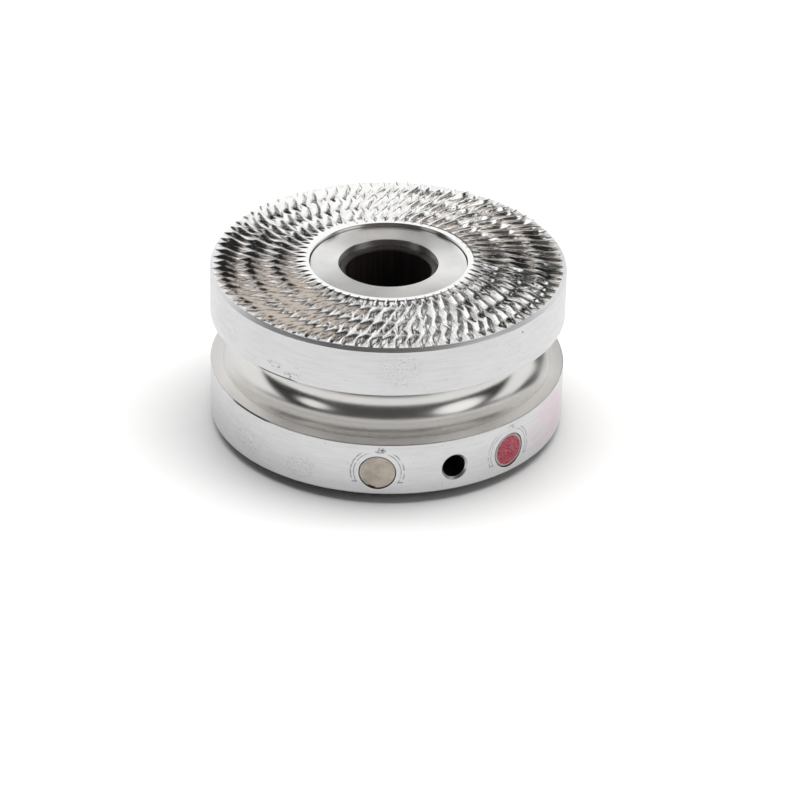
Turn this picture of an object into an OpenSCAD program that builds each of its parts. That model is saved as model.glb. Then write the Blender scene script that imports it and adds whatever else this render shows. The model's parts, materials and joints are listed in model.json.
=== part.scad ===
// Belt-driven grinding head: a spool-shaped aluminium wheel whose upper face is raised into
// rows of barbs. The wheel turns on two sealed ball bearings round a fixed steel hub sleeve,
// a round belt drives it in the groove, and two magnets in its lower flange pass a pick-up.
// The origin is on the spindle axis, at the lower end of the hub sleeve.

/* [Wheel] */
// Outside diameter of the wheel
wheel_d = 50; // [50:0.5:56]
// Height of the wheel's lower face above the end of the hub sleeve
stand_off = 1.4; // [1.4:0.1:2]
// Thickness of the lower flange, which holds the magnets
lower_flange_h = 7.9; // [7.6:0.1:8.4]
// Height of the belt groove at its mouth
groove_h = 7.8; // [7.4:0.1:8]
// Width of the flat shoulder at each side of the belt groove
shoulder_w = 1.9; // [1.6:0.1:2.4]
// Thickness of the upper flange, up to the seat of the toothed ring
upper_flange_h = 6.7; // [6.5:0.1:7]

/* [Toothed ring] */
// Chamfer on the outer rim of the toothed ring
rim_chamfer = 0.45; // [0.3:0.05:0.5]
// Height of the plain land round the hub above the valleys between the teeth
land_h = 0.45; // [0.3:0.05:0.6]
// Height of the barb tips above the valleys
barb_h = 0.5; // [0.3:0.05:0.8]
// Number of barbs in the inner, middle and outer rows
row_counts = [55, 69, 84];
// Angle by which each barb leans from its tip back to its root
barb_lean = 2.6; // [0:0.2:4]

/* [Hub] */
// Diameter of the spindle that the two liners fit
spindle_d = 12; // [11.8:0.1:12]
// Bore of the hub sleeve, which holds the liners
sleeve_bore_d = 14; // [14:0.1:14.4]
// Outside diameter of the hub sleeve, which is the bore of the bearings
bearing_bore_d = 17; // [16.8:0.1:17]
// Diameter of the flange at the top of the hub sleeve
hub_flange_d = 22; // [21.6:0.1:22]
// Thickness of that flange
hub_flange_h = 2; // [1.8:0.1:2]
// Depth of the hub face below the land of the toothed ring
hub_recess = 0.5; // [0.4:0.05:0.7]
// Length of each liner
liner_h = 10; // [8:0.5:10]
// Depth of each liner's end below the end of the hub sleeve
liner_recess = 0.95; // [0.6:0.05:1.2]

/* [Bearings] */
// Outside diameter of each bearing
bearing_d = 26; // [26:0.1:26.4]
// Width of each bearing
bearing_h = 5; // [4.6:0.1:5]
// Diameter of the balls
ball_d = 2.4; // [2.2:0.05:2.4]
// Number of balls in each bearing
ball_count = 14; // [10:1:15]

/* [Magnets and radial hole] */
// Diameter of the magnets
magnet_d = 5; // [4:0.1:5.2]
// Thickness of the magnets
magnet_h = 3; // [2:0.1:3.5]
// Height of the magnets and the radial hole above the lower face of the wheel
magnet_rise = 3.5; // [3.3:0.05:3.7]
// Angle of the plain magnet, from the front towards +X
plain_angle = -2.4; // [-5:0.1:5]
// Angle of the radial hole, from the front towards +X
hole_angle = 22.6; // [18:0.1:26]
// Angle of the inked magnet, from the front towards +X
red_angle = 43.2; // [40:0.1:50]
// Tapping diameter of the radial M4 hole
tap_d = 3.3; // [3.2:0.05:3.4]

/* [Hidden] */
$fn = 96;

fit = 0.01;                // radial gap between pieces that are fixed together
cut = 1;                   // how far a cutting shape runs past the face that it cuts
edge = 0.15;               // small chamfers that break the sharp edges
wheel_r = wheel_d / 2;
bearing_r = bearing_d / 2;
sleeve_r = bearing_bore_d / 2;
sleeve_bore_r = sleeve_bore_d / 2;
hub_flange_r = hub_flange_d / 2;
hub_gap = 0.1;             // running gap between the hub flange and the wheel
magnet_gap = 0.05;         // gap round a magnet in its pocket

groove_low = stand_off + lower_flange_h;
groove_top = groove_low + groove_h;
groove_mid = (groove_low + groove_top) / 2;
groove_r = groove_h / 2;
shoulder_r = wheel_r - shoulder_w;
ring_seat = groove_top + upper_flange_h;
valley = ring_seat + rim_chamfer;
land = valley + land_h;
hub_top = land - hub_recess;
bearing_top = hub_top - hub_flange_h;
magnet_z = stand_off + magnet_rise;

retainer_h = 1.8;          // threaded ring that holds the lower outer race in the wheel
lower_bearing_low = stand_off + retainer_h;
lower_bearing_top = lower_bearing_low + bearing_h;
upper_bearing_low = bearing_top - bearing_h;
race_inner_r = 9.9;        // outside of the inner races, and of the spacer and washer
race_outer_r = 11.6;       // inside of the outer races, and of the spacer and retainer
pitch_r = (race_inner_r + race_outer_r) / 2;
track_gap = 0.05;          // gap between the balls and their tracks
spring_h = 0.8;
spring_t = 0.3;
spring_waves = 4;
washer_h = 0.6;
nut_h = 2.1;
nut_r = 11.2;
nut_low = lower_bearing_low - washer_h - nut_h;
seal_t = 0.35;
seal_inset = 0.15;

spigot_h = 2;              // annular spigot that centres the toothed ring in the wheel
spigot_in = 15;
spigot_out = 21;
pin_r = 1.25;
pin_circle_r = 18;
pin_h = 3.9;
pin_top = ring_seat - 0.6;
pin_count = 3;
screw_h = 6;
screw_key = 2;             // width across the flats of the grub screw's hexagon socket

// A plain ring about the axis
module ring(outer, inner, low, top) {
    translate([0, 0, low]) difference() {
        cylinder(r = outer, h = top - low);
        translate([0, 0, -cut]) cylinder(r = inner, h = top - low + 2 * cut);
    }
}

// A shape drawn along +Z, turned to point outwards in the lower flange at this angle
module radial(angle) {
    rotate([0, 0, angle - 90]) translate([0, 0, magnet_z]) rotate([0, 90, 0]) children();
}

module pins(radius, extra) {
    for (i = [0 : pin_count - 1])
        rotate([0, 0, 90 + i * 360 / pin_count])
            translate([pin_circle_r, 0, pin_top - pin_h - extra])
                cylinder(r = radius, h = pin_h + 2 * extra);
}

module groove_cut() {
    rotate_extrude() polygon([
        [shoulder_r, groove_low], [wheel_r - edge, groove_low], [wheel_r, groove_low - edge],
        [wheel_r + cut, groove_low - edge], [wheel_r + cut, groove_top + edge],
        [wheel_r, groove_top + edge], [wheel_r - edge, groove_top], [shoulder_r, groove_top]]);
    rotate_extrude() translate([shoulder_r, groove_mid]) circle(r = groove_r);
}

module magnet_pocket(angle) {
    radial(angle) translate([0, 0, wheel_r - magnet_h - 0.15])
        cylinder(r = magnet_d / 2 + magnet_gap, h = magnet_h + cut);
}

module radial_hole() {
    mouth = 0.35;
    radial(hole_angle) {
        translate([0, 0, bearing_r - cut]) cylinder(d = tap_d, h = wheel_r - bearing_r + 2 * cut);
        translate([0, 0, wheel_r - mouth])
            cylinder(r1 = tap_d / 2, r2 = tap_d / 2 + 2 * mouth, h = 2 * mouth);
    }
}

module wheel_body() {
    color("silver") difference() {
        rotate_extrude() polygon([
            [0, stand_off], [wheel_r - 2 * edge, stand_off], [wheel_r, stand_off + 2 * edge],
            [wheel_r, ring_seat], [0, ring_seat]]);
        groove_cut();
        translate([0, 0, stand_off - cut])
            cylinder(r = bearing_r, h = bearing_top - stand_off + cut);
        translate([0, 0, stand_off]) cylinder(r = hub_flange_r + hub_gap, h = ring_seat);
        ring(spigot_out + fit, spigot_in - fit, ring_seat - spigot_h - fit, ring_seat + cut);
        pins(pin_r + fit, fit);
        magnet_pocket(plain_angle);
        magnet_pocket(red_angle);
        radial_hole();
    }
}

function polar(r, a, z) = [r * cos(a), r * sin(a), z];

// One row of barbs: low at the root, rising to a point at the outer end. Each barb has six
// corners of its own: two in the valley beside it, two on its crest and two on its base.
module barb_row(count, root_r, tip_r) {
    step = 360 / count;
    floor_z = valley + 0.04;
    base_z = valley - 0.3;
    corners = [for (i = [0 : count - 1]) let (a = i * step) each [
        polar(root_r, a + barb_lean, floor_z), polar(tip_r, a, floor_z),
        polar(root_r, a + barb_lean + step / 2, floor_z + 0.1),
        polar(tip_r - 0.1, a + step / 2, valley + barb_h),
        polar(root_r, a + barb_lean, base_z), polar(tip_r, a, base_z)]];
    faces = [for (i = [0 : count - 1])
        let (p = 6 * i, q = 6 * ((i + 1) % count)) each [
            [p, p + 2, p + 3], [p, p + 3, p + 1],
            [p + 2, q, q + 1], [p + 2, q + 1, p + 3],
            [p + 1, p + 3, q + 1], [p + 1, q + 1, q + 5], [p + 1, q + 5, p + 5],
            [q, p + 2, p], [q, p, p + 4], [q, p + 4, q + 4],
            [p + 4, p + 5, q + 5], [p + 4, q + 5, q + 4]]];
    polyhedron(corners, faces);
}

module toothed_ring() {
    hole_r = hub_flange_r + hub_gap;
    first_root = hole_r + 1.4;
    last_tip = wheel_r - rim_chamfer - 0.15;
    rows = len(row_counts);
    pitch = (last_tip - first_root) / rows;
    row_gap = 0.2;
    color("gainsboro") difference() {
        union() {
            rotate_extrude() polygon([
                [hole_r, ring_seat], [spigot_in, ring_seat], [spigot_in, ring_seat - spigot_h],
                [spigot_out, ring_seat - spigot_h], [spigot_out, ring_seat],
                [wheel_r, ring_seat], [wheel_r - rim_chamfer, valley],
                [first_root - 0.2, valley], [first_root - 0.2 - land_h, land], [hole_r, land]]);
            for (row = [0 : rows - 1])
                barb_row(row_counts[row], first_root + row * pitch,
                    first_root + (row + 1) * pitch - row_gap);
        }
        pins(pin_r + fit, fit);
    }
}

module drive_pins() {
    color("dimgray") pins(pin_r, 0);
}

module magnet(angle) {
    radial(angle) translate([0, 0, wheel_r - magnet_h - 0.1])
        cylinder(d = magnet_d, h = magnet_h);
}

module plain_magnet() {
    color("tan") magnet(plain_angle);
}

module inked_magnet() {
    color("indianred") magnet(red_angle);
}

module grub_screw() {
    socket_depth = 2.2;
    color("dimgray") radial(hole_angle) difference() {
        translate([0, 0, bearing_r]) cylinder(r = tap_d / 2 - fit, h = screw_h);
        translate([0, 0, bearing_r + screw_h - socket_depth])
            cylinder(d = screw_key / cos(30), h = socket_depth + cut, $fn = 6);
    }
}

// Ring with an external thread, turned home through four slots in its lower face
module retaining_ring() {
    slot_w = 1.6;
    slot_depth = 0.8;
    color("slategray") difference() {
        ring(bearing_r - fit, race_outer_r, stand_off, lower_bearing_low);
        for (a = [0, 90])
            rotate([0, 0, a]) translate([-bearing_r, -slot_w / 2, stand_off - cut])
                cube([bearing_d, slot_w, slot_depth + cut]);
    }
}

module outer_spacer() {
    color("lightsteelblue")
        ring(bearing_r - fit, race_outer_r, lower_bearing_top + spring_h, upper_bearing_low);
}

// Wave washer between the lower outer race and the outer spacer
module preload_spring() {
    steps = 64;
    outer = bearing_r - 0.2;
    inner = race_outer_r + 0.1;
    middle = lower_bearing_top + spring_h / 2;
    swing = (spring_h - spring_t) / 2;
    corners = [for (i = [0 : steps - 1])
        let (a = i * 360 / steps, z = middle + swing * sin(spring_waves * a)) each [
            polar(inner, a, z - spring_t / 2), polar(outer, a, z - spring_t / 2),
            polar(outer, a, z + spring_t / 2), polar(inner, a, z + spring_t / 2)]];
    faces = [for (i = [0 : steps - 1], side = [0 : 3])
        let (p = 4 * i, q = 4 * ((i + 1) % steps), next = (side + 1) % 4) each [
            [p + side, q + next, q + side], [p + side, p + next, q + next]]];
    color("darkgoldenrod") polyhedron(corners, faces);
}

module track(low) {
    translate([0, 0, low + bearing_h / 2]) rotate_extrude()
        translate([pitch_r, 0]) circle(r = ball_d / 2 + track_gap);
}

module outer_race(low) {
    color("lightgray") difference() {
        ring(bearing_r - fit, race_outer_r, low, low + bearing_h);
        track(low);
    }
}

module inner_race(low) {
    color("lightgray") difference() {
        ring(race_inner_r, sleeve_r + fit, low, low + bearing_h);
        track(low);
    }
}

module seal(low) {
    color("black") ring(race_outer_r - fit, race_inner_r + 0.1, low, low + seal_t);
}

module balls(low, radius) {
    for (i = [0 : ball_count - 1])
        rotate([0, 0, i * 360 / ball_count])
            translate([pitch_r, 0, low + bearing_h / 2]) sphere(r = radius);
}

module cage(low) {
    half_t = 0.35;
    half_h = 1.5;
    middle = low + bearing_h / 2;
    color("peru") difference() {
        ring(pitch_r + half_t, pitch_r - half_t, middle - half_h, middle + half_h);
        balls(low, ball_d / 2 + 0.03);
    }
}

module upper_outer_race() {
    outer_race(upper_bearing_low);
}

module upper_top_seal() {
    seal(bearing_top - seal_inset - seal_t);
}

module upper_bottom_seal() {
    seal(upper_bearing_low + seal_inset);
}

module lower_outer_race() {
    outer_race(lower_bearing_low);
}

module lower_top_seal() {
    seal(lower_bearing_top - seal_inset - seal_t);
}

module lower_bottom_seal() {
    seal(lower_bearing_low + seal_inset);
}

module hub_sleeve() {
    color("gray") rotate_extrude() polygon([
        [sleeve_bore_r + edge, 0], [sleeve_r - edge, 0], [sleeve_r, edge],
        [sleeve_r, bearing_top], [hub_flange_r, bearing_top], [hub_flange_r, hub_top - edge],
        [hub_flange_r - edge, hub_top], [sleeve_bore_r + edge, hub_top],
        [sleeve_bore_r, hub_top - edge], [sleeve_bore_r, edge]]);
}

// Polymer liner with a flared mouth at its upper end
module liner() {
    wall_r = sleeve_bore_r - fit;
    bore_r = spindle_d / 2;
    flare_w = 0.7;
    flare_h = 0.6;
    color("black") rotate_extrude() polygon([
        [bore_r, 0], [wall_r, 0], [wall_r, liner_h - 0.2], [wall_r - 0.2, liner_h],
        [bore_r + flare_w, liner_h], [bore_r, liner_h - flare_h]]);
}

module upper_liner() {
    translate([0, 0, hub_top - liner_recess - liner_h]) liner();
}

module lower_liner() {
    translate([0, 0, liner_recess + liner_h]) mirror([0, 0, 1]) liner();
}

module upper_inner_race() {
    inner_race(upper_bearing_low);
}

module lower_inner_race() {
    inner_race(lower_bearing_low);
}

module inner_spacer() {
    color("lightsteelblue")
        ring(race_inner_r, sleeve_r + fit, lower_bearing_top, upper_bearing_low);
}

module thrust_washer() {
    color("slategray")
        ring(race_inner_r, sleeve_r + fit, lower_bearing_low - washer_h, lower_bearing_low);
}

// Round nut on the lower end of the hub sleeve, with four spanner slots in its rim
module lock_nut() {
    slot_w = 2.4;
    slot_depth = 1.1;
    color("dimgray") difference() {
        ring(nut_r, sleeve_r + fit, nut_low, nut_low + nut_h);
        for (a = [0 : 90 : 270])
            rotate([0, 0, a]) translate([nut_r - slot_depth, -slot_w / 2, nut_low - cut])
                cube([slot_depth + cut, slot_w, nut_h + 2 * cut]);
    }
}

module upper_cage() {
    cage(upper_bearing_low);
}

module upper_balls() {
    color("whitesmoke") balls(upper_bearing_low, ball_d / 2);
}

module lower_cage() {
    cage(lower_bearing_low);
}

module lower_balls() {
    color("whitesmoke") balls(lower_bearing_low, ball_d / 2);
}

wheel_body();
toothed_ring();
drive_pins();
plain_magnet();
inked_magnet();
grub_screw();
retaining_ring();
outer_spacer();
preload_spring();
upper_outer_race();
upper_top_seal();
upper_bottom_seal();
lower_outer_race();
lower_top_seal();
lower_bottom_seal();
hub_sleeve();
upper_liner();
lower_liner();
upper_inner_race();
lower_inner_race();
inner_spacer();
thrust_washer();
lock_nut();
upper_cage();
upper_balls();
lower_cage();
lower_balls();
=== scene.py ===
import json
import math
import random

import bmesh
import bpy
from mathutils import Matrix, Vector


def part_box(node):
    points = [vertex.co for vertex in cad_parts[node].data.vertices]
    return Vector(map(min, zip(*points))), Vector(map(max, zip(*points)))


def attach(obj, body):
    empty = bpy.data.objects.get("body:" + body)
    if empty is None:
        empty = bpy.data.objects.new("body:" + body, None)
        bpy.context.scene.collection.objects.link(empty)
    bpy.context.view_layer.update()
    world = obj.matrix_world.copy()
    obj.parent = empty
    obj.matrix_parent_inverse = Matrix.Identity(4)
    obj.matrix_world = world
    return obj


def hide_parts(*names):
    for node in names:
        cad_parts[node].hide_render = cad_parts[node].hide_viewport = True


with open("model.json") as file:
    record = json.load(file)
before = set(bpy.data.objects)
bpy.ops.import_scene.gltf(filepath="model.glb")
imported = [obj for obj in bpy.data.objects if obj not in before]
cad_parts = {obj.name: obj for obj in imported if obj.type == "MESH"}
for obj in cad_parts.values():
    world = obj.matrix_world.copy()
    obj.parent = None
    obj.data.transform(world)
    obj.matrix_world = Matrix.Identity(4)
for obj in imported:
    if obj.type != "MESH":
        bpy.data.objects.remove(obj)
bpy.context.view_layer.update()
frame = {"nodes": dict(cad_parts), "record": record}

mm = 0.001
dice = random.Random(11)
scene = bpy.context.scene


# ---- sizes that several pieces share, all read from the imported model
wheelLow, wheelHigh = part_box("wheel_body")
ringLow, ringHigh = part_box("toothed_ring")
sleeveLow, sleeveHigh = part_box("hub_sleeve")
raceLow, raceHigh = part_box("upper_outer_race")
wheelRadius = wheelHigh.x
bearingRadius = raceHigh.x
hubRadius = sleeveHigh.x
openingRadius = hubRadius + 0.1 * mm
spigotInner = 15 * mm
spigotOuter = 21 * mm
magnetRadius = 2.5 * mm
magnetThickness = 3 * mm
nearAxis = 0.00001 * mm


def angleOf(node):
    # angle round the axis from the front towards +X
    low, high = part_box(node)
    return math.atan2((low.x + high.x) / 2, -(low.y + high.y) / 2)


def heightOf(node):
    low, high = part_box(node)
    return (low.z + high.z) / 2


def outward(angle):
    return Vector((math.sin(angle), -math.cos(angle), 0))


# ---- mesh helpers

def addMesh(name, verts, faces, crease=30):
    mesh = bpy.data.meshes.new(name)
    mesh.from_pydata([tuple(v) for v in verts], [], faces)
    shape = bmesh.new()
    shape.from_mesh(mesh)
    bmesh.ops.remove_doubles(shape, verts=shape.verts, dist=0.0005 * mm)
    bmesh.ops.dissolve_degenerate(shape, edges=shape.edges, dist=0.0002 * mm)
    bmesh.ops.recalc_face_normals(shape, faces=shape.faces)
    shape.to_mesh(mesh)
    shape.free()
    piece = bpy.data.objects.new(name, mesh)
    scene.collection.objects.link(piece)
    smoothByAngle(piece, crease)
    return piece


def smoothByAngle(piece, crease):
    piece.data.shade_smooth()
    piece.data.set_sharp_from_angle(angle=math.radians(crease))


def fillet(corners, steps=5):
    # rounds each corner (r, z, radius) of a closed outline
    outline = []
    count = len(corners)
    for i, (r, z, radius) in enumerate(corners):
        here = Vector((r, z))
        if radius <= 0:
            outline.append(here)
            continue
        before = Vector(corners[i - 1][:2]) - here
        after = Vector(corners[(i + 1) % count][:2]) - here
        half = before.angle(after) / 2
        reach = min(radius / math.tan(half), before.length * 0.49, after.length * 0.49)
        start = here + before.normalized() * reach
        end = here + after.normalized() * reach
        for k in range(steps + 1):
            t = k / steps
            outline.append(start * (1 - t) ** 2 + here * 2 * t * (1 - t) + end * t ** 2)
    return outline


def lathe(name, outline, steps=256, crease=30, place=None):
    # turns a closed outline of (r, z) about the z axis
    verts = []
    faces = []
    count = len(outline)
    for i in range(steps):
        a = 2 * math.pi * i / steps
        for r, z in outline:
            verts.append(Vector((r * math.cos(a), r * math.sin(a), z)))
    for i in range(steps):
        j = (i + 1) % steps
        for k in range(count):
            n = (k + 1) % count
            faces.append((i * count + k, j * count + k, j * count + n, i * count + n))
    if place is not None:
        verts = [place @ v for v in verts]
    return addMesh(name, verts, faces, crease)


def combine(piece, other, operation, crease=30):
    # boolean that is applied at once, and the other piece goes
    step = piece.modifiers.new("combine", "BOOLEAN")
    step.operation = operation
    step.solver = "MANIFOLD"
    step.object = other
    bpy.context.view_layer.objects.active = piece
    bpy.ops.object.modifier_apply(modifier=step.name)
    bpy.data.objects.remove(other)
    smoothByAngle(piece, crease)


def radialPlace(angle, height, radius):
    # a frame whose z axis points outwards at this angle, and whose y axis points up
    out = outward(angle)
    up = Vector((0, 0, 1))
    side = up.cross(out)
    place = Matrix((side, up, out)).transposed().to_4x4()
    place.translation = out * radius + up * height
    return place


# ---- node helpers

def newMaterial(name, colour, roughness, metallic=1.0):
    material = bpy.data.materials.new(name)
    material.use_nodes = True
    shader = material.node_tree.nodes["Principled BSDF"]
    shader.inputs["Base Color"].default_value = (*colour, 1)
    shader.inputs["Roughness"].default_value = roughness
    shader.inputs["Metallic"].default_value = metallic
    return material, material.node_tree, shader


def put(tree, kind, **values):
    node = tree.nodes.new(kind)
    for key, value in values.items():
        setattr(node, key, value)
    return node


def wire(tree, source, target):
    tree.links.new(source, target)


def calc(tree, operation, *inputs, clamp=False):
    # maths node whose inputs are numbers or sockets
    node = put(tree, "ShaderNodeMath", operation=operation, use_clamp=clamp)
    for i, value in enumerate(inputs):
        if isinstance(value, (int, float)):
            node.inputs[i].default_value = value
        else:
            wire(tree, value, node.inputs[i])
    return node.outputs[0]


def hypotenuse(tree, first, second):
    squares = calc(tree, "ADD", calc(tree, "MULTIPLY", first, first), calc(tree, "MULTIPLY", second, second))
    return calc(tree, "SQRT", squares)


def ramp(tree, value, low, high, outLow=0.0, outHigh=1.0):
    # smooth step between two values
    node = put(tree, "ShaderNodeMapRange", interpolation_type="SMOOTHSTEP")
    wire(tree, value, node.inputs["Value"])
    node.inputs["From Min"].default_value = low
    node.inputs["From Max"].default_value = high
    node.inputs["To Min"].default_value = outLow
    node.inputs["To Max"].default_value = outHigh
    return node.outputs["Result"]


def mixColour(tree, factor, first, second):
    node = put(tree, "ShaderNodeMix", data_type="RGBA")
    for value, socket in ((factor, node.inputs[0]), (first, node.inputs[6]), (second, node.inputs[7])):
        if isinstance(value, (int, float)):
            socket.default_value = value
        elif isinstance(value, tuple):
            socket.default_value = (*value, 1)
        else:
            wire(tree, value, socket)
    return node.outputs[2]


def noise(tree, vector, scale, detail=3.0, rough=0.5, distortion=0.0):
    node = put(tree, "ShaderNodeTexNoise")
    wire(tree, vector, node.inputs["Vector"])
    node.inputs["Scale"].default_value = scale
    node.inputs["Detail"].default_value = detail
    node.inputs["Roughness"].default_value = rough
    node.inputs["Distortion"].default_value = distortion
    return node.outputs["Fac"]


def stretch(tree, vector, x, y, z):
    node = put(tree, "ShaderNodeVectorMath", operation="MULTIPLY")
    wire(tree, vector, node.inputs[0])
    node.inputs[1].default_value = (x, y, z)
    return node.outputs["Vector"]


def newGroup(name, inputs, outputs):
    group = bpy.data.node_groups.new(name, "ShaderNodeTree")
    for label, kind, value in inputs:
        socket = group.interface.new_socket(name=label, in_out="INPUT", socket_type=kind)
        if value is not None:
            socket.default_value = value
    for label, kind in outputs:
        group.interface.new_socket(name=label, in_out="OUTPUT", socket_type=kind)
    start = group.nodes.new("NodeGroupInput")
    end = group.nodes.new("NodeGroupOutput")
    return group, start.outputs, end.inputs


def useGroup(tree, group, **values):
    node = put(tree, "ShaderNodeGroup", node_tree=group)
    for label, value in values.items():
        socket = node.inputs[label]
        if isinstance(value, (int, float, tuple)):
            socket.default_value = value
        else:
            wire(tree, value, socket)
    return node.outputs


print("stage: groups")

floatIn = "NodeSocketFloat"
vectorIn = "NodeSocketVector"


def makeTurnMarks():
    # fine rings left by a lathe tool: they follow the radius and the height
    group, given, made = newGroup("TurnMarks",
        [("Position", vectorIn, None), ("Density", floatIn, 1.0)],
        [("Rings", floatIn), ("Drift", floatIn)])
    split = put(group, "ShaderNodeSeparateXYZ")
    wire(group, given["Position"], split.inputs[0])
    squares = calc(group, "ADD", calc(group, "MULTIPLY", split.outputs[0], split.outputs[0]),
                   calc(group, "MULTIPLY", split.outputs[1], split.outputs[1]))
    radius = calc(group, "SQRT", squares)
    angle = calc(group, "ARCTAN2", split.outputs[0], split.outputs[1])
    rings = put(group, "ShaderNodeCombineXYZ")
    wire(group, calc(group, "MULTIPLY", radius, given["Density"]), rings.inputs[0])
    wire(group, calc(group, "MULTIPLY", split.outputs[2], given["Density"]), rings.inputs[1])
    wire(group, calc(group, "MULTIPLY", angle, 0.00012), rings.inputs[2])
    fine = noise(group, rings.outputs[0], 9000, 2.0, 0.6)
    broad = noise(group, rings.outputs[0], 900, 2.0, 0.5)
    wire(group, calc(group, "ADD", calc(group, "MULTIPLY", fine, 0.75),
                     calc(group, "MULTIPLY", broad, 0.25)), made["Rings"])
    wire(group, noise(group, given["Position"], 160, 3.0, 0.55), made["Drift"])
    return group


def makeSpeckle():
    # small pits and specks of dirt, thicker in some patches
    group, given, made = newGroup("Speckle",
        [("Position", vectorIn, None), ("Amount", floatIn, 0.5)],
        [("Pits", floatIn), ("Grime", floatIn)])
    fine = noise(group, given["Position"], 2600, 2.0, 0.6)
    patch = noise(group, given["Position"], 210, 2.0, 0.5)
    gate = calc(group, "ADD", calc(group, "MULTIPLY", patch, 0.35),
                calc(group, "MULTIPLY", given["Amount"], 0.1))
    wire(group, ramp(group, calc(group, "ADD", fine, gate), 0.88, 0.98), made["Pits"])
    wire(group, ramp(group, noise(group, given["Position"], 420, 4.0, 0.6), 0.45, 0.75), made["Grime"])
    return group


turnMarks = makeTurnMarks()
speckle = makeSpeckle()


def objectPosition(tree):
    return put(tree, "ShaderNodeTexCoord").outputs["Object"]


def dress(piece, material):
    piece.data.materials.clear()
    piece.data.materials.append(material)
    piece.data.polygons.foreach_set("material_index", [0] * len(piece.data.polygons))


def bumpTo(tree, shader, height, strength, distance):
    node = put(tree, "ShaderNodeBump")
    node.inputs["Strength"].default_value = strength
    node.inputs["Distance"].default_value = distance
    wire(tree, height, node.inputs["Height"])
    wire(tree, node.outputs[0], shader.inputs["Normal"])


def turnedMetal(name, colour, roughness, spread=0.08, marks=0.25, grime=0.25, density=1.0):
    # turned or ground metal with fine rings, faint pits and a little grime
    material, tree, shader = newMaterial(name, colour, roughness)
    place = objectPosition(tree)
    rings = useGroup(tree, turnMarks, Position=place, Density=density)
    dirt = useGroup(tree, speckle, Position=place, Amount=grime)
    dark = tuple(c * 0.45 for c in colour)
    worn = mixColour(tree, calc(tree, "MULTIPLY", dirt["Grime"], 0.12 * grime), colour, dark)
    wire(tree, mixColour(tree, calc(tree, "MULTIPLY", dirt["Pits"], 0.6), worn, dark),
         shader.inputs["Base Color"])
    change = calc(tree, "MULTIPLY", calc(tree, "SUBTRACT", rings["Drift"], 0.5), spread)
    wire(tree, calc(tree, "ADD", change, roughness, clamp=True), shader.inputs["Roughness"])
    height = calc(tree, "SUBTRACT", calc(tree, "MULTIPLY", rings["Rings"], marks), dirt["Pits"])
    bumpTo(tree, shader, height, 0.6, 0.012 * mm)
    return material


print("stage: toothed ring")

teeth = {
    # rows from the rim inwards: count, inner and outer radius, crest height
    "rows": [(84, 19.4, 24.3, 0.50), (69, 15.6, 20.5, 0.49), (55, 11.9, 16.7, 0.46)],
    "overhang": 0.55,          # how far a tip reaches past its own base
    "steepWidth": 0.42,        # plan width of the steep flank
    "slackWidth": 1.12,        # plan width of the slack, hollow flank
    "lean": 14.0,              # degrees from the radius
    "along": 14,
    "across": 5,
    "rimDrop": 0.48,           # face below the seat's chamfer top at the rim
    "innerRise": 0.16,         # how much higher the face is at its inner end
    "faceInner": 13.4,         # where the cut face meets the rise to the land
    "landOuter": 11.9,
    "gouges": 55,              # short starting cuts round the land
    "gougeSpan": (11.35, 13.8),
    "gougeWidth": 0.34,
    "gougeDepth": 0.40,
}


def smooth(t):
    t = min(max(t, 0.0), 1.0)
    return t * t * (3 - 2 * t)


def faceHeight(r):
    # the cut face falls slightly towards the rim
    base = wheelHigh.z / mm + teeth["rimDrop"]
    return base + teeth["innerRise"] * (24.5 - r) / 11


def ringPoint(angle, r, z):
    spot = outward(angle) * r * mm
    return Vector((spot.x, spot.y, z * mm))


def barb(verts, faces, angle, inner, outer, height):
    # one leaf-shaped barb, pointed at both ends, with its tip bent up and out
    length = outer - inner
    middle = (inner + outer) / 2
    sweep = math.tan(math.radians(teeth["lean"] + dice.uniform(-3, 3))) * length / middle
    columns = teeth["across"]
    start = len(verts)
    width = 2 * columns + 3
    bend = dice.uniform(0.6, 1.2)
    peak = dice.uniform(0.68, 0.80)
    fallen = dice.uniform(0.5, 0.85)
    belly = dice.uniform(1.1, 1.35)
    slack = teeth["slackWidth"] * dice.uniform(0.9, 1.08)
    steep = teeth["steepWidth"] * dice.uniform(0.6, 1.4)
    wave = dice.uniform(0.008, 0.018)
    flat = dice.uniform(0.02, 0.16)
    for j in range(teeth["along"] + 1):
        s = j / teeth["along"]
        leaf = math.sin(math.pi * s ** belly) ** 0.8 if 0 < s < 1 else 0.0
        lift = smooth((s - 0.86) / 0.14)
        crest = height * min(s / peak, 1) ** 0.9 * (1 - fallen * smooth((s - peak) / (1 - peak)))
        foot = crest * lift
        r = inner + length * s + teeth["overhang"] * lift * bend
        a = angle + sweep * (0.5 - s) + wave * math.sin(2 * math.pi * s)
        base = faceHeight(r) - 0.02
        under = base + foot if lift > 0 else base - 0.15
        for k in range(-columns, columns + 1):
            t = abs(k) / columns
            side = math.copysign(t, k) * (slack if k > 0 else steep) * leaf / r
            fall = 1 - t if k < 0 else 1 - 0.5 * t - 0.5 * smooth((t - flat) / (0.96 - flat))
            rag = 0.013 if k > 0 else 0.042
            tear = dice.uniform(-rag, rag) if 0 < t < 1 and 0 < j < teeth["along"] else 0.0
            verts.append(ringPoint(a + side, r, base + foot + (crest - foot) * fall + tear))
        for k in (1, -1):
            verts.append(ringPoint(a + k * (slack if k > 0 else steep) * leaf / r, r, under))
    stitch(faces, start, width, teeth["along"])


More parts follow.
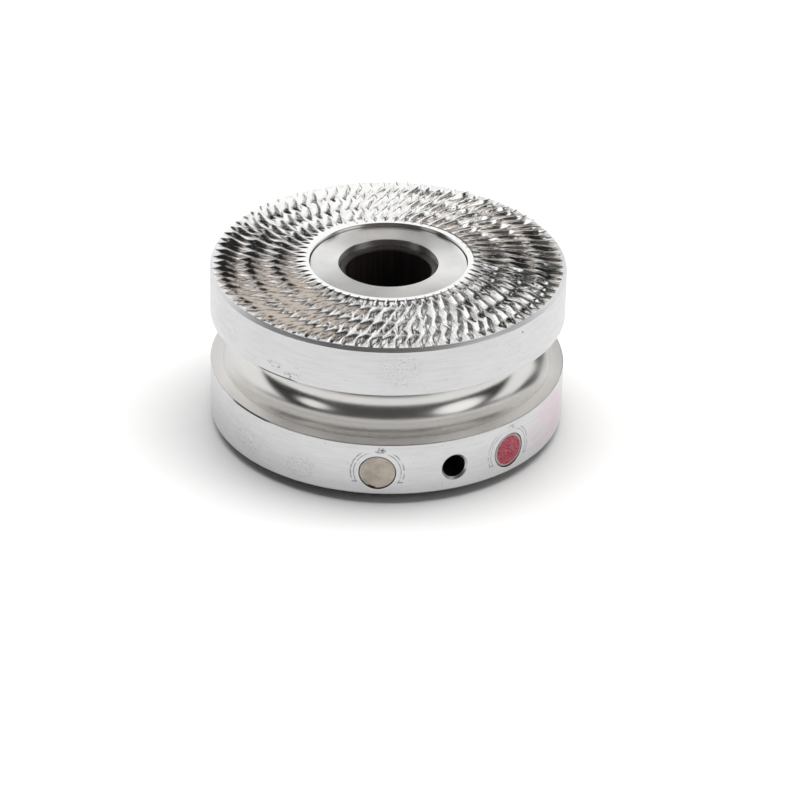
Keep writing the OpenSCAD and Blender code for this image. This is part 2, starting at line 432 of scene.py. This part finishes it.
def gouge(verts, faces, angle, inner, outer, width, depth):
    # a short pointed cut, taken out of the ring
    start = len(verts)
    steps = 10
    for j in range(steps + 1):
        s = j / steps
        leaf = math.sin(math.pi * s)
        r = inner + (outer - inner) * s
        a = angle - 0.03 * s
        z = faceHeight(r) + 0.6
        floorZ = faceHeight(r) + 0.28 - 0.22 * s - depth * leaf
        half = max(width * leaf, 0.004) / r
        verts.append(ringPoint(a - half, r, z))
        verts.append(ringPoint(a - half, r, floorZ + depth * leaf * 0.9 + 0.02))
        verts.append(ringPoint(a + half * 0.5, r, floorZ))
        verts.append(ringPoint(a + half, r, z))
    stitch(faces, start, 4, steps)


def stitch(faces, start, width, steps):
    # side faces between sections, and an end cap at each end
    for j in range(steps):
        for k in range(width):
            n = (k + 1) % width
            p = start + j * width
            q = p + width
            faces.append((p + k, q + k, q + n, p + n))
    faces.append(tuple(range(start, start + width)))
    faces.append(tuple(start + steps * width + k for k in reversed(range(width))))


def buildToothedRing():
    seat = wheelHigh.z
    rim = seat + teeth["rimDrop"] * mm
    land = ringHigh.z - 0.07 * mm
    spigotLow = ringLow.z
    outline = fillet([
        (openingRadius, seat, 0), (spigotInner, seat, 0), (spigotInner, spigotLow, 0),
        (spigotOuter, spigotLow, 0), (spigotOuter, seat, 0), (wheelRadius, seat, 0),
        (wheelRadius - 0.02 * mm, seat + 0.03 * mm, 0),
        (wheelRadius - teeth["rimDrop"] * mm, rim, 0.06 * mm),
        (teeth["faceInner"] * mm, faceHeight(teeth["faceInner"]) * mm, 1.2 * mm),
        (teeth["landOuter"] * mm, land, 0.5 * mm), (openingRadius + 0.05 * mm, land, 0),
        (openingRadius, land - 0.05 * mm, 0)], 6)
    ring = lathe("toothedRing", outline, 360)
    verts = []
    faces = []
    for count, inner, outer, height in teeth["rows"]:
        turn = dice.uniform(0, 2 * math.pi)
        for i in range(count):
            angle = turn + 2 * math.pi * (i + dice.uniform(-0.07, 0.07)) / count
            barb(verts, faces, angle, inner + dice.uniform(-0.2, 0.1), outer + dice.uniform(-0.1, 0.05),
                 height * dice.uniform(0.85, 1.08))
    combine(ring, addMesh("barbs", verts, faces), "UNION", 28)
    verts = []
    faces = []
    for i in range(teeth["gouges"]):
        angle = 2 * math.pi * (i + dice.uniform(-0.08, 0.08)) / teeth["gouges"]
        inner, outer = teeth["gougeSpan"]
        gouge(verts, faces, angle, inner, outer + dice.uniform(-0.2, 0.2), teeth["gougeWidth"],
              teeth["gougeDepth"])
    combine(ring, addMesh("gouges", verts, faces), "DIFFERENCE", 28)
    return ring


toothedRing = buildToothedRing()
print("ring faces", len(toothedRing.data.polygons))
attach(toothedRing, "wheel")
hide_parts("toothed_ring")


print("stage: wheel body")

wheel = {
    "lowerFlange": 7.9 * mm,
    "groove": 7.8 * mm,
    "shoulder": 1.9 * mm,
    "edge": 0.14 * mm,
    "flatness": 0.955,
    "lowerEdge": 0.35 * mm,
    "pocketGap": 0.10 * mm,
    "holeRadius": 1.65 * mm,
    "holeMouth": 2.0 * mm,
    "threadPitch": 0.7 * mm,
    "threadDepth": 0.3 * mm,
    "slack": 0.01 * mm,        # play round the spigot and the bearings
    "arcSteps": 48,
}


def buildWheelBody():
    low = wheelLow.z
    top = wheelHigh.z
    grooveLow = low + wheel["lowerFlange"]
    grooveTop = grooveLow + wheel["groove"]
    grooveMid = (grooveLow + grooveTop) / 2
    curve = wheel["groove"] / 2
    shoulder = wheelRadius - wheel["shoulder"]
    edge = wheel["edge"]
    corners = [(bearingRadius + wheel["slack"], low, 0.15 * mm), (wheelRadius, low, wheel["lowerEdge"]),
               (wheelRadius, grooveLow, edge)]
    for k in range(wheel["arcSteps"] + 1):
        a = -math.pi / 2 - math.pi * k / wheel["arcSteps"]
        # a little flatter at its bottom than a true half circle
        across = math.copysign(abs(math.cos(a)) ** wheel["flatness"], math.cos(a))
        up = math.copysign(abs(math.sin(a)) ** wheel["flatness"], math.sin(a))
        corners.append((shoulder + curve * across, grooveMid + curve * up, 0))
    slack = wheel["slack"]
    corners += [(wheelRadius, grooveTop, edge), (wheelRadius, top, 0), (spigotOuter + slack, top, 0),
                (spigotOuter + slack, ringLow.z - slack, 0), (spigotInner - slack, ringLow.z - slack, 0),
                (spigotInner - slack, top, 0), (openingRadius, top, 0), (openingRadius, raceHigh.z, 0.1 * mm),
                (bearingRadius + slack, raceHigh.z, 0)]
    body = lathe("wheelBody", fillet(corners), 360)
    for node in ("plain_magnet", "inked_magnet"):
        wall = magnetRadius + wheel["pocketGap"]
        bottom = -magnetThickness - 0.1 * mm
        pocket = fillet([(nearAxis, bottom, 0), (wall, bottom, 0), (wall, 1 * mm, 0), (nearAxis, 1 * mm, 0)])
        cutter = lathe("pocket", pocket, 64, place=radialPlace(angleOf(node), heightOf(node), wheelRadius))
        combine(body, cutter, "DIFFERENCE")
    return body


def threadedCutter():
    # tapped hole: a saw-toothed outline turned about the hole's own axis
    radius = wheel["holeRadius"]
    pitch = wheel["threadPitch"]
    deep = wheelRadius - bearingRadius
    root = radius + wheel["threadDepth"]
    outline = [(nearAxis, -deep - 1 * mm), (radius, -deep - 1 * mm)]
    z = -deep + 0.2 * mm
    while z < -0.9 * mm:
        outline += [(radius, z), (root, z + pitch * 0.42), (root, z + pitch * 0.5)]
        z += pitch
    outline += [(radius, -0.35 * mm), (wheel["holeMouth"], 0), (wheel["holeMouth"], 1 * mm),
                (nearAxis, 1 * mm)]
    return lathe("threadCutter", outline, 64,
                 place=radialPlace(angleOf("grub_screw"), heightOf("grub_screw"), wheelRadius))


wheelBody = buildWheelBody()
combine(wheelBody, threadedCutter(), "DIFFERENCE")
print("wheel faces", len(wheelBody.data.polygons))
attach(wheelBody, "wheel")
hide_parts("wheel_body")


print("stage: hub, liners, magnets")


hub = {"bore": 7 * mm, "sleeve": 8.5 * mm, "edge": 0.1 * mm}


def buildHub():
    bore = hub["bore"]
    sleeve = hub["sleeve"]
    edge = hub["edge"]
    under = raceHigh.z
    outline = fillet([(bore, sleeveLow.z, edge), (sleeve, sleeveLow.z, 2 * edge), (sleeve, under, 0),
                      (hubRadius, under, edge), (hubRadius, sleeveHigh.z, edge),
                      (bore, sleeveHigh.z, edge)])
    return lathe("hubSleeve", outline, 256)


hubSleeve = buildHub()
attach(hubSleeve, "hub")
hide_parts("hub_sleeve")


lining = {"bore": 6 * mm, "mouth": 0.85 * mm}


def buildLiner(name, node, flip):
    low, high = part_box(node)
    wall = high.x
    length = high.z - low.z
    outline = fillet([(lining["bore"], 0, 0.1 * mm), (wall, 0, 0.2 * mm), (wall, length, 0.25 * mm),
                      (lining["bore"], length, lining["mouth"])], 8)
    if flip:
        place = Matrix.Translation((0, 0, high.z)) @ Matrix.Rotation(math.pi, 4, "X")
    else:
        place = Matrix.Translation((0, 0, low.z))
    liner = lathe(name, outline, 192, place=place)
    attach(liner, "hub")
    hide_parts(node)
    return liner


upperLiner = buildLiner("upperLiner", "upper_liner", False)
lowerLiner = buildLiner("lowerLiner", "lower_liner", True)


def buildMagnet(name, node):
    outline = fillet([(nearAxis, -magnetThickness, 0), (magnetRadius, -magnetThickness, 0.2 * mm),
                      (magnetRadius, 0, 0.16 * mm), (nearAxis, 0, 0)], 6)
    place = radialPlace(angleOf(node), heightOf(node), wheelRadius - 0.1 * mm)
    magnet = lathe(name, outline, 96, place=place)
    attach(magnet, "wheel")
    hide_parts(node)
    return magnet


plainMagnet = buildMagnet("plainMagnet", "plain_magnet")
inkedMagnet = buildMagnet("inkedMagnet", "inked_magnet")


print("stage: materials")

wear = {
    # marks on the two flanges: angle from the front and height, both in the wheel's own frame
    "specks": [(4, 21.0, 9, 3.2), (-50, 4.5, 8, 2.4), (-28, 4.0, 7, 2.2), (-62, 20.5, 10, 3.0)],
    "nicks": [(-38, 18.7, 3.6, 0.65), (-31, 17.9, 4.0, 0.65), (48, 22.8, 1.2, 0.4), (-1, 8.6, 1.6, 0.45)],
    "burrs": [(-37, 17.24, 9), (-49, 9.2, 11)],
    "stain": (66, 5.4, 17, 4.2),
}


def polar(tree):
    # angle from the front in degrees, radius and height in millimetres
    split = put(tree, "ShaderNodeSeparateXYZ")
    wire(tree, objectPosition(tree), split.inputs[0])
    x, y, z = split.outputs
    angle = calc(tree, "ARCTAN2", x, calc(tree, "MULTIPLY", y, -1.0))
    squares = calc(tree, "ADD", calc(tree, "MULTIPLY", x, x), calc(tree, "MULTIPLY", y, y))
    radius = calc(tree, "MULTIPLY", calc(tree, "SQRT", squares), 1000.0)
    return calc(tree, "MULTIPLY", angle, 180 / math.pi), radius, calc(tree, "MULTIPLY", z, 1000.0)


def patch(tree, angle, height, centre):
    # soft oval window round a place on the flange
    atAngle, atHeight, wide, tall = centre
    across = calc(tree, "DIVIDE", calc(tree, "SUBTRACT", angle, float(atAngle)), float(wide))
    up = calc(tree, "DIVIDE", calc(tree, "SUBTRACT", height, float(atHeight)), float(tall))
    reach = calc(tree, "ADD", calc(tree, "MULTIPLY", across, across), calc(tree, "MULTIPLY", up, up))
    return ramp(tree, reach, 0.3, 1.0, 1.0, 0.0)


def anyOf(tree, masks):
    total = masks[0]
    for mask in masks[1:]:
        total = calc(tree, "MAXIMUM", total, mask)
    return total


def allOf(tree, masks):
    total = masks[0]
    for mask in masks[1:]:
        total = calc(tree, "MULTIPLY", total, mask)
    return total


def band(tree, value, centre, half, soft):
    # one inside centre plus or minus half, falling to nothing over soft
    gap = calc(tree, "ABSOLUTE", calc(tree, "SUBTRACT", value, float(centre)))
    return ramp(tree, gap, half, half + soft, 1.0, 0.0)


def pocketMarks(tree, angle, height, radius, node, strength):
    # double scribed arcs either side of a magnet, with a smudge over it
    degrees = math.degrees(angleOf(node))
    atHeight = heightOf(node) / mm
    along = calc(tree, "MULTIPLY", calc(tree, "SUBTRACT", angle, degrees), 25 * math.pi / 180)
    up = calc(tree, "SUBTRACT", height, atHeight)
    away = hypotenuse(tree, along, up)
    lines = anyOf(tree, [band(tree, away, 3.28, 0.035, 0.07), band(tree, away, 3.72, 0.05, 0.08)])
    place = objectPosition(tree)
    broken = ramp(tree, noise(tree, place, 1500, 3.0, 0.6), 0.36, 0.54)
    sides = calc(tree, "MULTIPLY", ramp(tree, up, -1.7, -1.5), ramp(tree, up, 2.6, 3.3, 1.0, 0.0))
    ticks = calc(tree, "MULTIPLY", band(tree, up, -1.55, 0.06, 0.08), band(tree, away, 3.5, 0.32, 0.05))
    smudge = calc(tree, "MULTIPLY", patch(tree, angle, height, (degrees + 0.8, atHeight + 3.5, 2.2, 0.6)),
                  ramp(tree, noise(tree, place, 1300, 4.0, 0.75), 0.49, 0.54))
    arcs = calc(tree, "MULTIPLY", calc(tree, "MULTIPLY", lines, sides), broken)
    shown = anyOf(tree, [arcs, ticks, smudge])
    onRim = ramp(tree, radius, 24.7, 24.9)
    return calc(tree, "MULTIPLY", calc(tree, "MULTIPLY", shown, onRim), strength)


def wheelFinish():
    satin = (0.665, 0.665, 0.67)
    material, tree, shader = newMaterial("turnedAluminium", satin, 0.34)
    angle, radius, height = polar(tree)
    place = objectPosition(tree)
    rings = useGroup(tree, turnMarks, Position=place, Density=1.0)
    dirt = useGroup(tree, speckle, Position=place, Amount=0.4)
    flange = ramp(tree, radius, 24.75, 24.95)
    polished = calc(tree, "MULTIPLY", ramp(tree, radius, 22.9, 23.2, 1.0, 0.0),
                    band(tree, height, 13.2, 4.2, 0.1))
    fine = ramp(tree, noise(tree, place, 5200, 2.0, 0.6), 0.55, 0.65)
    specks = anyOf(tree, [patch(tree, angle, height, c) for c in wear["specks"]])
    specks = calc(tree, "MULTIPLY", specks, fine)
    torn = ramp(tree, noise(tree, stretch(tree, place, 1, 1, 1.8), 2000, 4.0, 0.65), 0.54, 0.60)
    nicks = anyOf(tree, [patch(tree, angle, height, c) for c in wear["nicks"]])
    nicks = calc(tree, "MULTIPLY", nicks, torn)
    burrs = anyOf(tree, [calc(tree, "MULTIPLY", band(tree, angle, a, w * 0.6, w * 0.4),
                              band(tree, height, z, 0.08, 0.06)) for a, z, w in wear["burrs"]])
    pits = calc(tree, "MULTIPLY", dirt["Pits"], 0.5)
    marks = anyOf(tree, [calc(tree, "MULTIPLY", specks, 0.4), calc(tree, "MULTIPLY", nicks, 0.9), burrs,
                         calc(tree, "MULTIPLY", pits, 0.5)])
    marks = calc(tree, "MULTIPLY", marks, flange)
    arcs = anyOf(tree, [pocketMarks(tree, angle, height, radius, "plain_magnet", 0.6),
                        pocketMarks(tree, angle, height, radius, "inked_magnet", 0.45)])
    holeShade = paintedHoleShadeMask(tree)
    streaks = noise(tree, stretch(tree, place, 1, 1, 9), 260, 3.0, 0.55)
    colour = mixColour(tree, ramp(tree, streaks, 0.3, 0.75), satin, (0.61, 0.61, 0.62))
    colour = mixColour(tree, polished, colour, (0.66, 0.65, 0.635))
    # painted light: the two shoulders of the groove get a lighter copy of the aluminium, standing in for
    # light they catch
    paintedLitShoulders = allOf(tree, [ramp(tree, radius, 23.0, 23.3), ramp(tree, radius, 24.8, 24.9, 1.0, 0.0),
                             band(tree, height, 13.2, 4.0, 0.05)])
    colour = mixColour(tree, paintedLitShoulders, colour, (0.91, 0.895, 0.875))
    stain = calc(tree, "MULTIPLY", patch(tree, angle, height, wear["stain"]),
                 ramp(tree, noise(tree, place, 330, 3.0, 0.6), 0.25, 0.75, 0.05, 0.30))
    colour = mixColour(tree, calc(tree, "MULTIPLY", stain, flange), colour, (0.80, 0.42, 0.56))
    colour = mixColour(tree, marks, colour, (0.10, 0.10, 0.11))
    colour = mixColour(tree, arcs, colour, (0.05, 0.045, 0.05))
    # painted shade: the inside of the tapped hole is coloured near black
    colour = mixColour(tree, holeShade, colour, (0.02, 0.017, 0.015))
    # painted shade: the wheel's underside is coloured dark so the floor in the gap below it stays dark
    under = ramp(tree, height, 1.42, 1.55, 1.0, 0.0)
    colour = mixColour(tree, under, colour, (0.10, 0.085, 0.075))
    wire(tree, colour, shader.inputs["Base Color"])
    rough = calc(tree, "ADD", 0.33, calc(tree, "MULTIPLY", calc(tree, "SUBTRACT", rings["Drift"], 0.5), 0.12))
    rough = calc(tree, "SUBTRACT", rough, calc(tree, "MULTIPLY", polished, 0.11))
    rough = calc(tree, "ADD", rough, calc(tree, "MULTIPLY", holeShade, 0.35))
    rough = calc(tree, "ADD", rough, calc(tree, "MULTIPLY", paintedLitShoulders, 0.08))
    wire(tree, rough, shader.inputs["Roughness"])
    ridges = calc(tree, "MULTIPLY", rings["Rings"], calc(tree, "ADD", 0.35, polished))
    sunken = calc(tree, "ADD", marks, calc(tree, "MULTIPLY", arcs, 0.5))
    bumpTo(tree, shader, calc(tree, "SUBTRACT", ridges, sunken), 0.5, 0.008 * mm)
    return material


def paintedHoleShadeMask(tree):
    # painted shade: the inside of the tapped hole, behind its mouth, is marked for a near-black colour
    split = put(tree, "ShaderNodeSeparateXYZ")
    wire(tree, objectPosition(tree), split.inputs[0])
    across = outward(angleOf("grub_screw") + math.pi / 2)
    side = calc(tree, "ADD", calc(tree, "MULTIPLY", split.outputs[0], across.x),
                calc(tree, "MULTIPLY", split.outputs[1], across.y))
    up = calc(tree, "SUBTRACT", split.outputs[2], heightOf("grub_screw"))
    away = hypotenuse(tree, side, up)
    axis = outward(angleOf("grub_screw"))
    deep = calc(tree, "ADD", calc(tree, "MULTIPLY", split.outputs[0], axis.x),
                calc(tree, "MULTIPLY", split.outputs[1], axis.y))
    sunk = ramp(tree, deep, 24.2 * mm, 24.55 * mm, 1.0, 0.0)
    front = ramp(tree, deep, 5 * mm, 10 * mm)
    return allOf(tree, [ramp(tree, away, 2.05 * mm, 2.15 * mm, 1.0, 0.0), sunk, front])


def ringFinish():
    bright = (0.90, 0.895, 0.885)
    material, tree, shader = newMaterial("barbedAluminium", bright, 0.13)
    angle, radius, height = polar(tree)
    place = objectPosition(tree)
    along = put(tree, "ShaderNodeCombineXYZ")
    wire(tree, calc(tree, "MULTIPLY", angle, 1.7), along.inputs[0])
    wire(tree, calc(tree, "MULTIPLY", radius, 0.7), along.inputs[1])
    streaks = noise(tree, along.outputs[0], 1.0, 3.0, 0.6, 0.6)
    torn = noise(tree, place, 2600, 4.0, 0.65)
    grime = useGroup(tree, speckle, Position=place, Amount=0.3)["Grime"]
    cut = calc(tree, "MULTIPLY", ramp(tree, radius, 12.0, 13.0), ramp(tree, radius, 24.5, 24.6, 1.0, 0.0))
    soiled = calc(tree, "MULTIPLY", calc(tree, "MULTIPLY", grime, cut), 0.22)
    colour = mixColour(tree, soiled, bright, (0.62, 0.52, 0.42))
    rim = ramp(tree, radius, 24.52, 24.6)
    wire(tree, mixColour(tree, rim, colour, (0.82, 0.82, 0.84)), shader.inputs["Base Color"])
    rough = calc(tree, "ADD", 0.10, calc(tree, "MULTIPLY", torn, 0.10))
    wire(tree, calc(tree, "ADD", rough, calc(tree, "MULTIPLY", rim, 0.30)), shader.inputs["Roughness"])
    relief = calc(tree, "ADD", calc(tree, "MULTIPLY", streaks, 0.7), calc(tree, "MULTIPLY", torn, 0.3))
    bumpTo(tree, shader, calc(tree, "MULTIPLY", relief, cut), 0.8, 0.060 * mm)
    return material


def magnetFinish(name, node, colour, ink):
    # nickel plate, dull from handling, with marker ink over one of them
    material, tree, shader = newMaterial(name, colour, 0.42)
    place = objectPosition(tree)
    mottle = noise(tree, place, 700, 4.0, 0.6)
    base = mixColour(tree, ramp(tree, mottle, 0.3, 0.7), colour, tuple(c * 0.82 for c in colour))
    spots = ramp(tree, noise(tree, place, 2100, 2.0, 0.6), 0.66, 0.74)
    base = mixColour(tree, calc(tree, "MULTIPLY", spots, 0.5), base, tuple(c * 0.4 for c in colour))
    angle, radius, height = polar(tree)
    turned = calc(tree, "SUBTRACT", angle, math.degrees(angleOf(node)))
    along = calc(tree, "MULTIPLY", turned, 25 * math.pi / 180)
    up = calc(tree, "SUBTRACT", height, heightOf(node) / mm)
    away = hypotenuse(tree, along, up)
    if ink:
        strokes = put(tree, "ShaderNodeCombineXYZ")
        wire(tree, calc(tree, "ADD", along, calc(tree, "MULTIPLY", up, 0.8)), strokes.inputs[0])
        wire(tree, calc(tree, "MULTIPLY", calc(tree, "SUBTRACT", up, along), 0.35), strokes.inputs[1])
        lay = noise(tree, strokes.outputs[0], 3.2, 3.0, 0.6, 0.9)
        red = mixColour(tree, ramp(tree, lay, 0.35, 0.65), (0.30, 0.035, 0.06), (0.42, 0.13, 0.16))
        cover = calc(tree, "MULTIPLY", ramp(tree, away, 2.05, 2.35, 1.0, 0.0),
                     ramp(tree, lay, 0.72, 0.80, 1.0, 0.35))
        base = mixColour(tree, cover, base, red)
    else:
        smear = calc(tree, "MULTIPLY", ramp(tree, away, 2.1, 2.35), band(tree, along, -0.75, 0.35, 0.25))
        smear = calc(tree, "MULTIPLY", smear, ramp(tree, up, -1.2, -1.8))
        base = mixColour(tree, smear, base, (0.09, 0.004, 0.01))
    wire(tree, base, shader.inputs["Base Color"])
    wire(tree, ramp(tree, mottle, 0.3, 0.7, 0.36, 0.50), shader.inputs["Roughness"])
    bumpTo(tree, shader, mottle, 0.4, 0.02 * mm)
    return material


def hubFinish():
    steel = (0.90, 0.895, 0.88)
    material, tree, shader = newMaterial("groundSteel", steel, 0.30)
    place = objectPosition(tree)
    rings = useGroup(tree, turnMarks, Position=place, Density=0.8)
    dirt = useGroup(tree, speckle, Position=place, Amount=0.25)
    tone = mixColour(tree, ramp(tree, rings["Drift"], 0.35, 0.65), steel, (0.82, 0.815, 0.80))
    tone = mixColour(tree, calc(tree, "MULTIPLY", dirt["Pits"], 0.5), tone, (0.3, 0.29, 0.27))
    wire(tree, tone, shader.inputs["Base Color"])
    wire(tree, calc(tree, "ADD", 0.26, calc(tree, "MULTIPLY", rings["Drift"], 0.12)),
         shader.inputs["Roughness"])
    # the ground rings spread what they reflect across themselves
    shader.inputs["Anisotropic"].default_value = 0.9
    shader.inputs["Anisotropic Rotation"].default_value = 0.25
    tangent = put(tree, "ShaderNodeTangent", direction_type="RADIAL", axis="Z")
    wire(tree, tangent.outputs[0], shader.inputs["Tangent"])
    bumpTo(tree, shader, rings["Rings"], 0.6, 0.012 * mm)
    return material


def linerFinish():
    black = (0.012, 0.011, 0.012)
    material, tree, shader = newMaterial("blackPolymer", black, 0.36, 0.0)
    place = objectPosition(tree)
    angle, radius, height = polar(tree)
    polishLines = put(tree, "ShaderNodeCombineXYZ")
    wire(tree, calc(tree, "MULTIPLY", angle, 0.35), polishLines.inputs[0])
    wire(tree, calc(tree, "MULTIPLY", height, 0.08), polishLines.inputs[1])
    rub = noise(tree, polishLines.outputs[0], 1.0, 3.0, 0.6)
    tone = mixColour(tree, ramp(tree, rub, 0.4, 0.7), black, (0.035, 0.022, 0.018))
    wire(tree, tone, shader.inputs["Base Color"])
    wire(tree, ramp(tree, rub, 0.3, 0.7, 0.28, 0.5), shader.inputs["Roughness"])
    bumpTo(tree, shader, noise(tree, place, 1800, 3.0, 0.6), 0.3, 0.01 * mm)
    return material


def rubberFinish():
    # moulded seal rubber with a faint bloom
    black = (0.018, 0.018, 0.019)
    material, tree, shader = newMaterial("sealRubber", black, 0.6, 0.0)
    place = objectPosition(tree)
    bloom = noise(tree, place, 380, 4.0, 0.6)
    tone = mixColour(tree, ramp(tree, bloom, 0.4, 0.7), black, (0.05, 0.05, 0.052))
    wire(tree, tone, shader.inputs["Base Color"])
    wire(tree, ramp(tree, bloom, 0.3, 0.7, 0.5, 0.7), shader.inputs["Roughness"])
    bumpTo(tree, shader, noise(tree, place, 2600, 3.0, 0.6), 0.4, 0.01 * mm)
    return material


wheelMaterial = wheelFinish()
ringMaterial = ringFinish()
hubMaterial = hubFinish()
nickelMaterial = magnetFinish("nickelPlate", "plain_magnet", (0.47, 0.425, 0.365), False)
inkMaterial = magnetFinish("redInk", "inked_magnet", (0.46, 0.43, 0.40), True)
linerMaterial = linerFinish()
for piece, material in ((wheelBody, wheelMaterial), (toothedRing, ringMaterial), (hubSleeve, hubMaterial),
                        (plainMagnet, nickelMaterial), (inkedMagnet, inkMaterial),
                        (upperLiner, linerMaterial), (lowerLiner, linerMaterial)):
    dress(piece, material)
darkSteel = turnedMetal("blackOxide", (0.07, 0.07, 0.08), 0.4, 0.1, 0.3, 0.6)
plainSteel = turnedMetal("polishedSteel", (0.7, 0.7, 0.71), 0.15, 0.04, 0.1, 0.2)
brassMaterial = turnedMetal("pressedBrass", (0.72, 0.52, 0.26), 0.3, 0.1, 0.1, 0.4)
rubberMaterial = rubberFinish()

nodeFinish = {"dark_steel": darkSteel, "hub_steel": hubMaterial, "bearing_steel": plainSteel,
              "spring_steel": plainSteel, "spacer_aluminium": wheelMaterial, "cage_brass": brassMaterial,
              "seal_rubber": rubberMaterial, "black_polymer": linerMaterial, "nickel_plate": nickelMaterial,
              "red_ink": inkMaterial, "turned_aluminium": wheelMaterial, "toothed_aluminium": ringMaterial}
for row in frame["record"]["subparts"]:
    dress(frame["nodes"][row["node"]], nodeFinish[row["material_slot"]])


print("stage: studio")

studio = {
    "floorSize": 0.30,
    "distance": 23.26 * 25 * mm,
    "elevation": 29.2,
    "roll": 1.0,
    "lens": 185.1,
    "aimHeight": 12.62 * mm,
    "shift": (0.0159, -0.0814),
    "backdrop": 1.08,          # brightness of the white sweep behind the work
    "sideBoxes": [((0.80, -0.42, 0.46), 22, 1.3), ((-0.78, -0.44, 0.42), 14, 1.2)],
    "flags": [((0.43, 0.64, 0.64), 16, 0.97), ((0.27, 0.93, 0.20), 17, 0.95),
              ((-0.31, 0.55, 0.78), 17, 0.97)],
    "warmCard": ((0.21, 0.25, 0.95), 25, 0.62),
    "warmTint": (1.0, 0.885, 0.79),
    "room": 0.015,
    "frontWall": 0.07,
    "ceiling": (0.56, 0.68),   # sine of the height where the sweep ends
    "sweepEdge": (0.30, 0.46),
    "topPower": 10.2,
}


def buildFloor():
    half = studio["floorSize"] / 2
    floor = addMesh("floor", [(-half, -half, 0), (half, -half, 0), (half, half, 0), (-half, half, 0)],
                    [(0, 1, 2, 3)])
    material, tree, shader = newMaterial("paleFloor", (0.92, 0.92, 0.92), 0.6, 0.0)
    shader.inputs["Specular IOR Level"].default_value = 0.15
    floor.data.materials.append(material)


def buildTopBox():
    data = bpy.data.lights.new("topBox", "AREA")
    data.shape = "RECTANGLE"
    data.size = 1.2
    data.size_y = 0.5
    data.energy = studio["topPower"]
    lamp = bpy.data.objects.new("topBox", data)
    scene.collection.objects.link(lamp)
    lamp.location = (0.07, 0.11, 0.9)
    lamp.visible_glossy = False
    lamp.visible_camera = False


def cone(tree, direction, aim, half):
    # one inside a cone round a direction, soft at its edge
    dot = put(tree, "ShaderNodeVectorMath", operation="DOT_PRODUCT")
    wire(tree, direction, dot.inputs[0])
    dot.inputs[1].default_value = Vector(aim).normalized()
    edge = math.cos(math.radians(half))
    return ramp(tree, dot.outputs["Value"], edge, edge + (1 - edge) * 0.45)


def buildWorld():
    # a white sweep behind, a soft box each side, and a dark room above and in front
    world = bpy.data.worlds.new("studioWorld")
    scene.world = world
    world.use_nodes = True
    tree = world.node_tree
    tree.nodes.clear()
    direction = put(tree, "ShaderNodeTexCoord").outputs["Generated"]
    split = put(tree, "ShaderNodeSeparateXYZ")
    wire(tree, direction, split.inputs[0])
    low = ramp(tree, split.outputs[2], *studio["ceiling"], 1.0, 0.0)
    edge = calc(tree, "ADD", split.outputs[1], calc(tree, "MULTIPLY", split.outputs[2], 0.5))
    behind = ramp(tree, edge, *studio["sweepEdge"])
    light = calc(tree, "MULTIPLY", calc(tree, "MULTIPLY", low, behind), studio["backdrop"])
    for aim, half, power in studio["sideBoxes"]:
        light = calc(tree, "MAXIMUM", light, calc(tree, "MULTIPLY", cone(tree, direction, aim, half), power))
    for aim, half, depth in studio["flags"]:
        shade = calc(tree, "MULTIPLY", cone(tree, direction, aim, half), depth)
        light = calc(tree, "MULTIPLY", light, calc(tree, "SUBTRACT", 1.0, shade))
    aim, half, power = studio["warmCard"]
    warm = cone(tree, direction, aim, half)
    light = calc(tree, "MAXIMUM", light, calc(tree, "MULTIPLY", warm, power))
    front = ramp(tree, split.outputs[1], -0.2, -0.7, 0.0, studio["frontWall"])
    light = calc(tree, "ADD", calc(tree, "MAXIMUM", light, front), studio["room"])
    path = put(tree, "ShaderNodeLightPath")
    room = put(tree, "ShaderNodeBackground")
    wire(tree, light, room.inputs[1])
    wire(tree, mixColour(tree, warm, (1.0, 1.0, 1.0), studio["warmTint"]), room.inputs[0])
    bright = put(tree, "ShaderNodeBackground")
    bright.inputs[0].default_value = (1, 1, 1, 1)
    bright.inputs[1].default_value = 1.0
    pick = put(tree, "ShaderNodeMixShader")
    end = put(tree, "ShaderNodeOutputWorld")
    wire(tree, path.outputs["Is Camera Ray"], pick.inputs[0])
    wire(tree, room.outputs[0], pick.inputs[1])
    wire(tree, bright.outputs[0], pick.inputs[2])
    wire(tree, pick.outputs[0], end.inputs[0])


def buildCamera():
    data = bpy.data.cameras.new("camera")
    data.lens = studio["lens"]
    data.sensor_width = 36
    data.shift_x, data.shift_y = studio["shift"]
    camera = bpy.data.objects.new("camera", data)
    scene.collection.objects.link(camera)
    tilt = math.radians(studio["elevation"])
    back = Vector((0, -math.cos(tilt), math.sin(tilt)))
    camera.location = Vector((0, 0, studio["aimHeight"])) + back * studio["distance"]
    camera.rotation_mode = "QUATERNION"
    turn = Matrix.Rotation(math.radians(studio["roll"]), 4, "Z").to_quaternion()
    camera.rotation_quaternion = (-back).to_track_quat("-Z", "Y") @ turn
    data.clip_start = 0.01
    data.clip_end = 20
    scene.camera = camera


buildFloor()
buildWorld()
buildCamera()
buildTopBox()
scene.view_settings.view_transform = "Standard"
